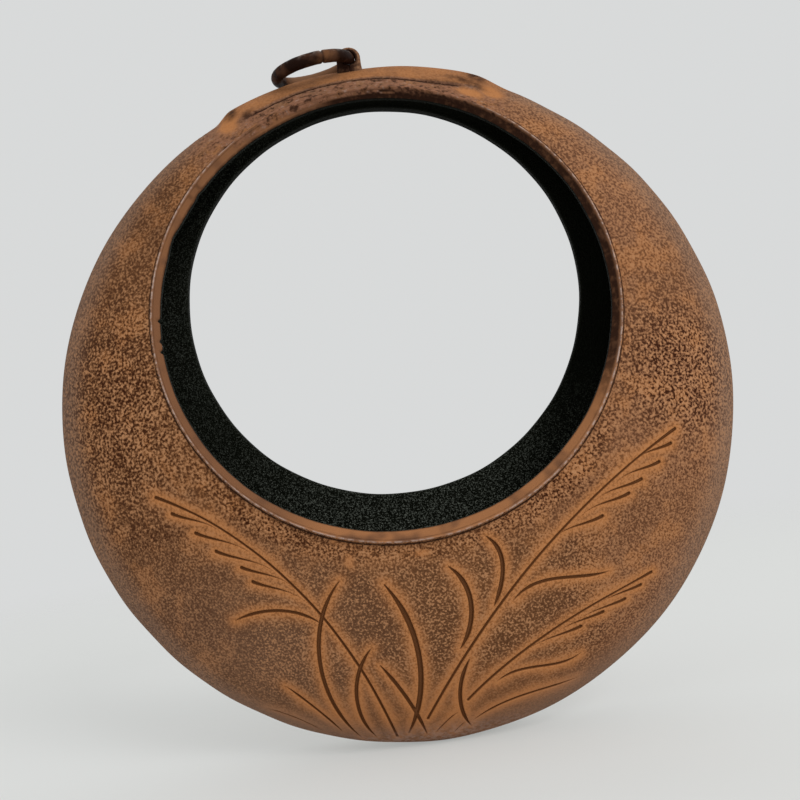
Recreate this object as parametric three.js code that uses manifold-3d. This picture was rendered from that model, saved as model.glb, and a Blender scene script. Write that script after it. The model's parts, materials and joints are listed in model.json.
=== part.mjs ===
// A hanging flower vase of cast iron, shaped like a moon with a large round opening.
// Millimetres, +Z up, front towards -Y. The origin is the centre of the eye that the vase hangs by.

import * as THREE from 'three';
import { mergeVertices } from 'three/addons/utils/BufferGeometryUtils.js';
import Module from 'manifold-3d';

// Body: a disc with a domed front and a flat back, cast in two mould halves
const BODY_RADIUS = 120;
const FRONT_RISE = 35;
const BACK_DEPTH = 14;
const BACK_EDGE = 12;
const WALL = 4;

// Front opening: a circle with a ridge, a bevelled lip inside it and a flank outside it
const LIP_RADIUS = 76;
const LIP_WIDTH = 3;
const LIP_DROP = 3;
const LIP_FOOT = 1.2;
const RIDGE_RISE = 2;
const RIM_FLANK = 3.5;
const RIM_FLANK_DROP = 5.2;
const FRONT_TOP_BAND = 11;

// Back opening: a round hole, a little higher than the front one
const BACK_HOLE_RADIUS = 74.2;
const BACK_TOP_BAND = 6.6;

// Pad: a raised land along the top edge that the eye is cast into, sloping down to the front
const PAD_RISE = 3;
const PAD_CROWN_RISE = 32;
const PAD_HALF_ANGLE = THREE.MathUtils.degToRad(21.3);
const PAD_END_RAMP = THREE.MathUtils.degToRad(4);
const PAD_FRONT = 8;
const PAD_BACK = 7;
const PAD_ROOT_COVER = 0.3;

// Ring of thick wire, lying over to the left on the pad
const RING_WIRE = 4.5;
const RING_RADIUS = 13.7;
const RING_REST_GAP = 0.3;

// Eye: a strap bent over the ring's wire, leaning forward, with both legs in pockets of the pad
const EYE_CLEARANCE = 0.45;
const EYE_HEIGHT = 3;
const EYE_FORWARD = 3.5;
const EYE_LEFT = 1.5;
const EYE_LEAN = THREE.MathUtils.degToRad(8);
const STRAP_THICKNESS = 1.7;
const STRAP_WIDTH = 4.6;
const LEG_DEPTH = 2.6;
const LEG_CLEARANCE = 0.3;

// Facets of the round shapes, and how far a cutting shape runs past what it cuts
const ROUND_STEPS = 72;
const DOME_STEPS = 12;
const EDGE_STEPS = 6;
const RING_STEPS = 44;
const WIRE_SIDES = 12;
const EYE_STEPS = 12;
const PAD_STEPS = 16;
const CUT_PAST = 2;
const MERGE_TOLERANCE = 0.0001;

const QUARTER_TURN = Math.PI / 2;

// The openings hang below the top edge by the bands that are left above them. The front rim's plane
// tilts with the dome: it runs through the dome at its top and bottom, and the ridge stands above it.
const ridgeRadius = LIP_RADIUS + LIP_WIDTH;
const rimUp = BODY_RADIUS - FRONT_TOP_BAND - ridgeRadius;
const rimTopDepth = domeDepth(rimUp + ridgeRadius);
const rimBottomDepth = domeDepth(rimUp - ridgeRadius);
const rimTilt = Math.atan2(rimBottomDepth - rimTopDepth, 2 * ridgeRadius);
const rimForward = (rimTopDepth + rimBottomDepth) / 2 + RIDGE_RISE;
const backHoleUp = BODY_RADIUS - BACK_TOP_BAND - BACK_HOLE_RADIUS;

const padRadius = BODY_RADIUS + PAD_RISE;
const eyeAboveCentre = padRadius + EYE_HEIGHT;
const eyeRadius = RING_WIRE / 2 + EYE_CLEARANCE;
const strapRadius = eyeRadius + STRAP_THICKNESS;
const legBottom = -(EYE_HEIGHT + LEG_DEPTH);

const wasm = await Module();
wasm.setup();

// Turns a closed geometry into a solid that can be joined and cut.
function solidOf(geometry) {
  const bare = geometry.clone();
  bare.deleteAttribute('normal');
  bare.deleteAttribute('uv');
  const merged = mergeVertices(bare, MERGE_TOLERANCE);
  const corners = merged.index.array;
  const triVerts = [];
  for (let i = 0; i < corners.length; i += 3) {
    const [a, b, c] = corners.slice(i, i + 3);
    if (a !== b && b !== c && c !== a) {
      triVerts.push(a, b, c);
    }
  }
  return new wasm.Manifold(new wasm.Mesh({
    numProp: 3,
    vertProperties: new Float32Array(merged.attributes.position.array),
    triVerts: new Uint32Array(triVerts),
  }));
}

// Turns a finished solid back into a geometry.
function geometryOf(solid) {
  const { vertProperties, triVerts } = solid.getMesh();
  const geometry = new THREE.BufferGeometry();
  geometry.setAttribute('position', new THREE.BufferAttribute(vertProperties, 3));
  geometry.setIndex(new THREE.BufferAttribute(triVerts, 1));
  geometry.computeVertexNormals();
  return geometry;
}

function point(x, y) {
  return new THREE.Vector2(x, y);
}

function lathe(profile) {
  return new THREE.LatheGeometry(profile, ROUND_STEPS);
}

// Extrudes an outline drawn in the XZ plane from one depth to another along Y.
function slab(outline, front, back, curveSegments) {
  const geometry = new THREE.ExtrudeGeometry(outline, {
    depth: back - front,
    bevelEnabled: false,
    curveSegments,
  });
  geometry.rotateX(QUARTER_TURN);
  geometry.translate(0, back, 0);
  return geometry;
}

// How far the dome stands in front of the parting plane at a height above the body's centre.
function domeDepth(height) {
  return FRONT_RISE * Math.sqrt(1 - (height / BODY_RADIUS) ** 2);
}

// The front dome as a half ellipsoid, from its nose to a flat face at the given depth.
function domeCap(radius, rise, flatDepth) {
  const profile = new THREE.EllipseCurve(0, 0, radius, rise, -QUARTER_TURN, 0).getPoints(DOME_STEPS);
  if (flatDepth > 0) {
    profile.push(point(radius, flatDepth));
  }
  profile.push(point(0, flatDepth));
  return lathe(profile);
}

// The back as a flat dish with a rounded edge, starting at the given depth.
function backDish(edge, depth, startDepth) {
  const flatRadius = BODY_RADIUS - BACK_EDGE;
  const round = new THREE.EllipseCurve(flatRadius, 0, edge, depth, 0, QUARTER_TURN).getPoints(EDGE_STEPS);
  const profile = [point(0, startDepth)];
  if (startDepth < 0) {
    profile.push(point(flatRadius + edge, startDepth));
  }
  profile.push(...round, point(0, depth));
  return lathe(profile);
}

// Moves a shape that is round about Y into the tilted plane of the front rim.
function placeOnRim(geometry) {
  geometry.rotateX(-rimTilt);
  geometry.translate(0, -rimForward, rimUp);
  return geometry;
}

// The rim: its ridge, the flank that falls to the dome outside, and the bevelled lip inside.
function rimRing() {
  const ridge = point(ridgeRadius, 0);
  return placeOnRim(lathe([
    ridge,
    point(ridgeRadius + RIM_FLANK, RIM_FLANK_DROP),
    point(LIP_RADIUS, LIP_DROP + LIP_FOOT),
    point(LIP_RADIUS, LIP_DROP),
    ridge,
  ]));
}

function frontOpening() {
  const length = 2 * (rimForward + CUT_PAST);
  return placeOnRim(new THREE.CylinderGeometry(LIP_RADIUS, LIP_RADIUS, length, ROUND_STEPS));
}

function backOpening() {
  const length = 2 * (BACK_DEPTH + CUT_PAST);
  const hole = new THREE.CylinderGeometry(BACK_HOLE_RADIUS, BACK_HOLE_RADIUS, length, ROUND_STEPS);
  hole.translate(0, 0, backHoleUp);
  return hole;
}

// The pad's sector in the body's plane: from inside the wall to past the pad's crown, with sloped ends.
function padSector(front, back) {
  const rootRadius = BODY_RADIUS - WALL + PAD_ROOT_COVER;
  const rootAngle = PAD_HALF_ANGLE + PAD_END_RAMP;
  const topRadius = padRadius + CUT_PAST;
  const topAngle = PAD_HALF_ANGLE - PAD_END_RAMP * CUT_PAST / (padRadius - rootRadius);
  const outline = new THREE.Shape();
  outline.absarc(0, 0, topRadius, QUARTER_TURN - topAngle, QUARTER_TURN + topAngle, false);
  outline.absarc(0, 0, rootRadius, QUARTER_TURN + rootAngle, QUARTER_TURN - rootAngle, true);
  return solidOf(slab(outline, front, back, PAD_STEPS));
}

// The front and back halves of the pad, each a sector of a band that is round about the body's axis.
function frontPad() {
  const band = solidOf(domeCap(padRadius, PAD_CROWN_RISE, 0));
  return band.intersect(padSector(-PAD_FRONT, 0));
}

function backPad() {
  const band = solidOf(backDish(BACK_EDGE + PAD_RISE, BACK_DEPTH, 0));
  return band.intersect(padSector(0, PAD_BACK));
}

// Cuts the pockets for the strap's two legs, open at the top of the pad.
function withoutPockets(shell) {
  const width = STRAP_THICKNESS + 2 * LEG_CLEARANCE;
  const depth = STRAP_WIDTH + 2 * LEG_CLEARANCE;
  const height = LEG_DEPTH + LEG_CLEARANCE + CUT_PAST;
  const legCentre = eyeRadius + STRAP_THICKNESS / 2;
  let cut = shell;
  for (const x of [-legCentre, legCentre]) {
    const pocket = new THREE.BoxGeometry(width, depth, height);
    pocket.translate(x, 0, legBottom - LEG_CLEARANCE + height / 2);
    pocket.rotateX(EYE_LEAN);
    pocket.translate(-EYE_LEFT, -EYE_FORWARD, eyeAboveCentre);
    cut = cut.subtract(solidOf(pocket));
  }
  return cut;
}

function frontShell() {
  let shell = solidOf(domeCap(BODY_RADIUS, FRONT_RISE, 0));
  shell = shell.subtract(solidOf(domeCap(BODY_RADIUS - WALL, FRONT_RISE - WALL, CUT_PAST)));
  shell = shell.add(frontPad());
  shell = shell.subtract(solidOf(frontOpening()));
  shell = shell.add(solidOf(rimRing()));
  return geometryOf(withoutPockets(shell));
}

function backShell() {
  let shell = solidOf(backDish(BACK_EDGE, BACK_DEPTH, 0));
  shell = shell.subtract(solidOf(backDish(BACK_EDGE - WALL, BACK_DEPTH - WALL, -CUT_PAST)));
  shell = shell.add(backPad());
  shell = shell.subtract(solidOf(backOpening()));
  return geometryOf(withoutPockets(shell));
}

// The strap, drawn about the centre of the eye: over the wire and straight down into the pad.
function eyeStrap() {
  const outline = new THREE.Shape();
  outline.moveTo(strapRadius, legBottom);
  outline.absarc(0, 0, strapRadius, 0, Math.PI, false);
  outline.lineTo(-strapRadius, legBottom);
  outline.lineTo(-eyeRadius, legBottom);
  outline.absarc(0, 0, eyeRadius, Math.PI, 0, true);
  outline.lineTo(eyeRadius, legBottom);
  const geometry = new THREE.ExtrudeGeometry(outline, {
    depth: STRAP_WIDTH,
    bevelEnabled: false,
    curveSegments: EYE_STEPS,
  });
  geometry.rotateX(QUARTER_TURN);
  geometry.translate(0, STRAP_WIDTH / 2, 0);
  return geometry;
}

// How far the ring's loose end lies below level, so that its wire rests on the pad: the angle at which
// the far end of the ring's centre line is one wire radius and a gap above the pad's crown.
function ringRestAngle() {
  const reach = 2 * RING_RADIUS;
  const restRadius = padRadius + RING_WIRE / 2 + RING_REST_GAP;
  const eyeDistance = Math.hypot(eyeAboveCentre, EYE_LEFT);
  const excess = reach ** 2 + eyeDistance ** 2 - restRadius ** 2;
  return Math.asin(excess / (2 * reach * eyeDistance)) + Math.atan2(EYE_LEFT, eyeAboveCentre);
}

function piece(name, geometry, color, roughness, metalness) {
  const material = new THREE.MeshStandardMaterial({ color, roughness, metalness });
  const mesh = new THREE.Mesh(geometry, material);
  mesh.name = name;
  return mesh;
}

const vase = new THREE.Group();

const body = new THREE.Group();
body.position.set(EYE_LEFT, EYE_FORWARD, -eyeAboveCentre);
body.add(piece('front_shell', frontShell(), 0x7a4526, 0.7, 0.2));
body.add(piece('back_shell', backShell(), 0x5f3820, 0.75, 0.2));
vase.add(body);

// The eye and its ring share one leaning frame: the ring swings about that frame's Y axis.
const eye = new THREE.Group();
eye.rotation.x = EYE_LEAN;
eye.add(piece('eye_staple', eyeStrap(), 0x6b3d22, 0.65, 0.3));

const ringGeometry = new THREE.TorusGeometry(RING_RADIUS, RING_WIRE / 2, WIRE_SIDES, RING_STEPS);
const ring = piece('hanging_ring', ringGeometry, 0x33241c, 0.5, 0.6);
ring.position.set(-RING_RADIUS, 0, 0);
const ringPivot = new THREE.Group();
ringPivot.rotation.y = -ringRestAngle();
ringPivot.add(ring);
eye.add(ringPivot);
vase.add(eye);

export default vase;
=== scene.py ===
import json
import math

import bmesh
import bpy
import numpy as np
from mathutils import Matrix, Vector
from mathutils.noise import fractal


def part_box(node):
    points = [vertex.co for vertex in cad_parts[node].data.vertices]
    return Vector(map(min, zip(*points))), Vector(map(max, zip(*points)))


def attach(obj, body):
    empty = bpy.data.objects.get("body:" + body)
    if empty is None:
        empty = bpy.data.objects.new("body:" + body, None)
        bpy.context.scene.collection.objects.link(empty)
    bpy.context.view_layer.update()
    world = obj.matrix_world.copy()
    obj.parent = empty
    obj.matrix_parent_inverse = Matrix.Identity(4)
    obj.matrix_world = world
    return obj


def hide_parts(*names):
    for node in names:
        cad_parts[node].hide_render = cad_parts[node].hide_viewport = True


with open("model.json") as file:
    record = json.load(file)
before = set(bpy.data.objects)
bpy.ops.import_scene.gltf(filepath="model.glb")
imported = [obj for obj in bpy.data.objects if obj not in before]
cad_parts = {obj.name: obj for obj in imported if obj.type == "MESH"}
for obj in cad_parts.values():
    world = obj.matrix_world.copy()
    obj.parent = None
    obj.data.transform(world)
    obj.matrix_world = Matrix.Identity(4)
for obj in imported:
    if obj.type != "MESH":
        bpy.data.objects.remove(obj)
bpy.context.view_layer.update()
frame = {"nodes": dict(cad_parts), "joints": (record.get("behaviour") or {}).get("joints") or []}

# Front wall of the casting: a shallow iron dome, sand-cast 4 mm thick, with a bevelled rim round the
# moon opening and a raised pad at the top for the eye. The pampas grass is sunk into its face, and
# the outside carries a rust-brown patina over dark grains. Sizes are millimetres from its centre.
MM = 0.001
FRONT_RISE = 35
WALL = 4
PROFILE_STEPS = 4000
shell_low, shell_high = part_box("front_shell")
BODY_RADIUS = (shell_high.x - shell_low.x) / 2 / MM
body_centre = np.array((
    (shell_low.x + shell_high.x) / 2,
    shell_high.y,
    shell_low.z + BODY_RADIUS * MM,
))

LIP_RADIUS = 76
RIM_RADIUS = 79
RIDGE_RADIUS = 78.9
RIDGE_OVAL = 0.5
RIDGE_SAG = 0.5
RIDGE_LOW_TURN = math.radians(285)
RIDGE_RISE = 2
FRONT_TOP_BAND = 11
FLANK_WIDTH = 1.5
FLANK_TOP_WIDTH = 4.5
FLANK_ROWS = (0, 0.1, 0.2, 0.32, 0.46, 0.64, 0.86, 1.1, 1.4, 1.8, 2.4)
FACE_ROWS = 125
INSIDE_ROWS = 34
COLUMN_STEPS = ((-15, 50, 0.6), (50, 135, 0.3), (135, 345, 0.36))


class Profile:
    """A wall's section from its middle to its edge, which unrolls the wall's face into a flat disc."""

    def __init__(self, radii, depths):
        self.radii = radii
        self.depths = depths
        steps = np.hypot(np.diff(radii), np.diff(depths))
        self.lengths = np.concatenate(((0,), np.cumsum(steps)))

    def unroll(self, x, z):
        radius = np.maximum(np.hypot(x, z), 1e-9)
        stretch = np.interp(radius, self.radii, self.lengths) / radius
        return np.stack((x * stretch, z * stretch), -1)

    def roll(self, flat):
        length = np.maximum(np.hypot(flat[..., 0], flat[..., 1]), 1e-9)
        shrink = np.interp(length, self.lengths, self.radii) / length
        depth = np.interp(length, self.lengths, self.depths)
        return np.stack((flat[..., 0] * shrink, depth, flat[..., 1] * shrink), -1)


def dome_profile(radius, rise):
    turn = np.linspace(0, math.pi / 2, PROFILE_STEPS)
    return Profile(radius * np.sin(turn), -rise * np.cos(turn))


def smooth_step(value, start, end):
    share = np.clip((value - start) / (end - start), 0, 1)
    return share * share * (3 - 2 * share)


def span(value, start, full, fading, end):
    """Rises to 1 from start to full, and falls to 0 again from fading to end."""
    return smooth_step(value, start, full) * smooth_step(value, end, fading)


def bell(value, centre, width):
    return np.exp(-(((value - centre) / width) ** 2))


def row_frame(points):
    """Millimetres from the vase's centre become metres in the frame."""
    return points * MM + body_centre


dome = dome_profile(BODY_RADIUS, FRONT_RISE)
inner_dome = dome_profile(BODY_RADIUS - WALL, FRONT_RISE - WALL)

# The rim's circle lies in a plane that leans back with the dome. The ridge sags a little below it.
rim_up = BODY_RADIUS - FRONT_TOP_BAND - RIM_RADIUS
rim_depths = [
    FRONT_RISE * math.sqrt(1 - (height / BODY_RADIUS) ** 2)
    for height in (rim_up + RIM_RADIUS, rim_up - RIM_RADIUS)
]
rim_tilt = math.atan2(rim_depths[1] - rim_depths[0], 2 * RIM_RADIUS)
rim_forward = sum(rim_depths) / 2 + RIDGE_RISE


def on_rim(radius, drop, turn):
    """A point of the rim by its radius, how far it lies behind the ridge, and its angle."""
    across = radius * np.cos(turn)
    along = radius * np.sin(turn)
    depth = -rim_forward + along * math.sin(rim_tilt) + drop * math.cos(rim_tilt)
    height = rim_up + along * math.cos(rim_tilt) - drop * math.sin(rim_tilt)
    return np.stack((across, depth + 0 * turn, height), -1)


def ridge_line(turn):
    """The ridge's radius: it was dressed by hand, a little oval and lower at the bottom."""
    past = turn - RIDGE_LOW_TURN
    return RIDGE_RADIUS + RIDGE_OVAL * np.cos(2 * past) + RIDGE_SAG * np.cos(past)


def hand_wobble(turn, size):
    """The slow unevenness of a line that was dressed by hand."""
    return size * (np.sin(5 * turn + 0.7) + 0.6 * np.sin(11 * turn + 2.1) + 0.4 * np.sin(23 * turn + 4))


turns = np.radians(np.concatenate([np.arange(*stretch) for stretch in COLUMN_STEPS]))

# Grass cut into the face. Each line is a few points from tip to root, in millimetres right of and above
# the vase's centre, with its widest stroke. A plume has barbs below its stem: each is given by the point
# where it nears the stem and its length, and runs on along the stem as a thin tail.
LEAVES = (
    (((-62, -68), (-53, -66), (-43, -67), (-34, -72)), 1.25),
    (((-26, -59), (-33, -69), (-36, -83), (-34, -100), (-27, -114)), 1.6),
    (((-19, -82), (-25, -92), (-26, -103), (-22, -114)), 1.5),
    (((-49, -92), (-41, -100), (-33, -111)), 1.1),
    (((-58, -100), (-48, -104), (-39, -111)), 0.8),
    (((-12, -62), (-6, -75), (-4, -90), (-7, -105), (-11, -114)), 2),
    (((-17, -88), (-11, -98), (-5, -115)), 1.5),
    (((61, -68), (54, -68.5), (43, -67.5), (36, -68.5), (28, -73)), 1.25),
    (((49, -94), (43, -96), (31, -96), (20, -99)), 1.15),
    (((47, -103), (32, -105), (19, -108), (11, -112)), 1.1),
    (((22, -51), (26, -57.5), (26, -63), (22, -73.5)), 1.65),
    (((9, -59), (14, -67), (14.5, -74), (9.5, -86)), 1.8),
    (((12, -90), (8, -99), (7.5, -106), (10, -114)), 1.55),
    (((6, -108), (2, -111), (-2, -115)), 0.7),
    (((8, -112), (4, -116)), 0.6),
)
PLUMES = (
    (((-83, -25), (-64, -36), (-47, -52), (-33, -70), (-23, -89), (-15, -115)), 157, -36,
     ((-66, -36, 13), (-57, -44, 15), (-50, -51, 16), (-45, -56, 13), (-42, -61, 13))),
    (((90, -25), (71, -35), (53, -48), (35, -62), (19, -79), (5, -96), (-4, -109)), 13, 210,
     ((77, -32, 11), (70, -38, 13), (62, -43, 14), (57, -47, 14), (47, -53, 14))),
    (((76, -71), (60, -76), (42, -84), (24, -93), (10, -104)), 12, 201,
     ((60, -77, 12), (53, -81, 13), (45, -84, 13), (35, -88, 15))),
)
LEAF_TIP = 0.28
LEAF_SWELL = 1.1
LEAF_CURVE = 0.8
STEM_WIDTH = 1
STEM_TAPER = 0.12
STEM_HEAD = 0.45
STEM_HEAD_SHARE = 0.07
BARB_WIDTH = 1.4
BARB_TAPER = 0.86
BARB_CURVE = 0.9
BARB_TAIL = 4
CURVE_DEGREE = 3
LINE_STEP = 0.25
PIECE_LENGTH = 40
RUBBED_REACH = 8
RUBBED_FADE = 2.8
RUBBED_CURVE = 1.3
CUT_DEPTH_SHARE = 0.5
CUT_LEAST_DEPTH = 0.1
CUT_OUTER_EDGE = -0.12
CUT_WALL_SHARE = 1.15
CUT_FLOOR_SHARE = 0.75
CUT_SOFT_EDGE = (-0.1, 0.35)
CUT_FLOOR_EDGE = (0.3, 0.75)
REFINE_REACH = 0.9
REFINE_CUTS = 2


def curve_along(points):
    """A smooth curve that follows the points, sampled at an even step."""
    knots = np.array(points, float)
    lengths = np.concatenate(((0,), np.cumsum(np.hypot(*np.diff(knots, axis=0).T))))
    fit = np.polyfit(lengths / lengths[-1], knots, min(CURVE_DEGREE, len(knots) - 1))
    share = np.linspace(0, 1, max(3, round(lengths[-1] / LINE_STEP)))
    return np.stack([np.polyval(row, share) for row in fit.T], -1)


def heading(degrees):
    return np.array((math.cos(math.radians(degrees)), math.sin(math.radians(degrees))))


def grass_lines():
    """The centre line of every cut with its half width along it, from tip to root."""
    lines = []
    for points, width in LEAVES:
        line = curve_along(points)
        along = np.linspace(0, 1, len(line))
        swell = LEAF_TIP + LEAF_SWELL * np.sin(math.pi * along) ** LEAF_CURVE
        lines.append((line, width / 2 * np.minimum(1, swell)))
    for points, tip_angle, tail_angle, barbs in PLUMES:
        line = curve_along(points)
        along = np.linspace(0, 1, len(line))
        taper = 1 - STEM_TAPER * np.cos(math.pi * along) + STEM_HEAD * bell(along, 0, STEM_HEAD_SHARE)
        lines.append((line, STEM_WIDTH / 2 * taper))
        for x, z, length in barbs:
            end = np.array((x, z))
            tip = end + length * heading(tip_angle)
            barb = curve_along((tip, (tip + end) / 2, end, end + BARB_TAIL * heading(tail_angle)))
            along = np.linspace(0, 1, len(barb))
            lines.append((barb, BARB_WIDTH / 2 * (1 - BARB_TAPER * along**BARB_CURVE)))
    return [(dome.unroll(line[:, 0], line[:, 1]), half_width) for line, half_width in lines]


def engrave(flat, lines):
    """Depth of the cuts at points of the unrolled face, and how far inside a cut's edge they lie."""
    depth = np.zeros(len(flat))
    inside = np.full(len(flat), -RUBBED_REACH, float)
    for line, half_width in lines:
        for start in range(0, len(line), PIECE_LENGTH):
            piece = line[start:start + PIECE_LENGTH + 1]
            halves = half_width[start:start + PIECE_LENGTH + 1]
            low = piece.min(0) - RUBBED_REACH - halves.max()
            high = piece.max(0) + RUBBED_REACH + halves.max()
            near = np.flatnonzero(((flat > low) & (flat < high)).all(1))
            if len(near) == 0:
                continue
            gaps = np.linalg.norm(flat[near, None] - piece[None], axis=2)
            within = halves[None] - gaps
            best = within.argmax(1)
            margin = within[np.arange(len(near)), best]
            inside[near] = np.maximum(inside[near], margin)
            full = CUT_DEPTH_SHARE * 2 * halves[best] + CUT_LEAST_DEPTH
            wall = np.minimum(1, CUT_WALL_SHARE * halves[best])
            sunk = full * smooth_step(margin, CUT_OUTER_EDGE, wall * CUT_FLOOR_SHARE)
            depth[near] = np.maximum(depth[near], sunk)
    return depth, inside


# The pad: a land along the top edge, sloping down to a crease, with ramps at both ends. Its crease, the
# scooped hollows at its ends, its stains and its painted shade are placed by the angle from the top and
# the depth in front of the parting plane. The last pad mark is no stain but the ring's painted shadow
# where it lies. A stain, hollow or spot is its strength, then its place and width each way.
PAD_RISE = 3.1
PAD_RIGHT_RISE = 0.35
PAD_RIGHT_FROM = (-8, 4)
PAD_LEFT_END = (22.5, 27)
PAD_RIGHT_END = (20.8, 28)
PAD_RIGHT_TAIL = (22, 36)
PAD_TAIL_SHARE = 0.4
PAD_STEP = 0.5
PAD_SLOPE_CURVE = 1.5
PAD_FRONT_EDGE = (-0.5, 0.1)
ON_PAD = (0.1, 0.7)
CREASE_ANGLES = (-25, -20, -10, 0, 5, 10, 14.5, 20, 25)
CREASE_DEPTHS = (10, 12.4, 10.6, 10, 10.4, 11.5, 12.6, 11.2, 9.4)
CREASE_BLUR = (-3, -1.5, 0, 1.5, 3)
CREASE_SPAN = (-23, -20, 17.5, 21.5)
CREASE_WIDTH = 0.36
CREASE_LOWER = 0.15
CREASE_DEPTH = 0.35
CREASE_SHADE = (0.1, 1.1)
CREASE_SHADE_FROM = (6, 14)
SCOOPS = ((1.35, 21.3, 3, 13.3, 1.8), (1.35, 25, 2.7, 10.8, 2.8), (1.35, -24.6, 2.3, 10.5, 4.3))
SCOOP_DEPTH = 0.6
# the last entry is the ring's painted shadow on the pad, the others are stains
PAD_STAINS_AND_RING_SHADOW = (
    (0.74, 20, 5, 9.7, 1.8), (0.74, -22.8, 1.5, 4.5, 4), (0.74, -20.6, 2, 11.5, 2),
    (0.85, 21.4, 2.6, 5.8, 4.2), (0.85, -23, 1.9, 6.8, 3), (0.5, -8, 6, 4, 5),
)

# Zones of the face, in millimetres right of or above the centre, or below it where the name says so.
ROUGH_TOP_MIDDLE = -2
ROUGH_TOP_ANGLES = (36, 23)
ROUGH_TOP_HEIGHTS = (60, 90)
FLANK_CURVE = 1.6
GROOVE_DEPTH = 0.2
GROOVE_PLACE = (1.1, 0.4)
SWELL_HEIGHT = 0.12
SWELL_FROM_RIDGE = (2, 12)
SOLE_BELOW = (110, 118)
BOTTOM_RUBBED_BELOW = (90, 105)
BOTTOM_CALM_BELOW = (85, 106)
UNDER_RIM = (4, 7)
UNDER_RIM_BELOW = (-20, 30)
EDGE_BAND = (107, 118)
EDGE_SIDES = (60, 100)
EDGE_SIDES_WIDER = 3
LOW_LEFT = (20, -60)
LOW_LEFT_BELOW = (20, 80)
FINE_BELOW = (30, 46)
DULL_LEFT = (80, -45)
DULL_UNDER_TOP = (115, 75)
DULL_LOW_LEFT = (95, -5)
DULL_LOW_BELOW = (25, 60)
DEEP_BELOW = (46, 62, 90, 112)
DEEP_MIDDLE = -8
DEEP_SIDES = (74, 40)
GRAIN_ZONES = ((1.0, -92, 45, 5, 65), (1.12, 96, 34, -6, 36))
GRAIN_LOW_BELOW = (35, 60)
GRAIN_LOW_SIDES = (80, 50)
RUBBED_SPOTS = ((1, -22, 2.2, -53, 3), (1, 1, 4, -53.5, 1.6), (1, -26, 1.6, -46, 1.6))
FACE_STAINS = ((0.42, -72, 30, 72, 28),)
RIDGE_WEAR_AND_HIGHLIGHT_WIDTH = 0.18


def pad_height(angle):
    """The pad's height on the parting plane by the angle from the top, and the share its ends leave."""
    left = smooth_step(-angle, *PAD_LEFT_END)
    right = smooth_step(angle, *PAD_RIGHT_END)
    tail = smooth_step(angle, *PAD_RIGHT_TAIL)
    ends = 1 - left - right + PAD_TAIL_SHARE * (right - tail)
    return PAD_RISE + PAD_RIGHT_RISE * smooth_step(angle, *PAD_RIGHT_FROM), ends


def pad_lift(angle, depth):
    """How far the pad stands above the wall, by angle and depth to the front, and its crease's depth."""
    crease = np.mean([np.interp(angle + blur, CREASE_ANGLES, CREASE_DEPTHS) for blur in CREASE_BLUR], 0)
    rise, ends = pad_height(angle)
    slope = rise + (PAD_STEP - rise) * np.clip(depth / crease, 0, 1) ** PAD_SLOPE_CURVE
    front = 1 - smooth_step(depth - crease, *PAD_FRONT_EDGE)
    return slope * front * ends, crease


def blots(across, along, places):
    """Soft oval marks, each given by its strength and by its place and width along two directions."""
    return np.maximum.reduce([
        strength * bell(across, a, wide) * bell(along, b, tall) for strength, a, wide, b, tall in places
    ])


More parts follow.
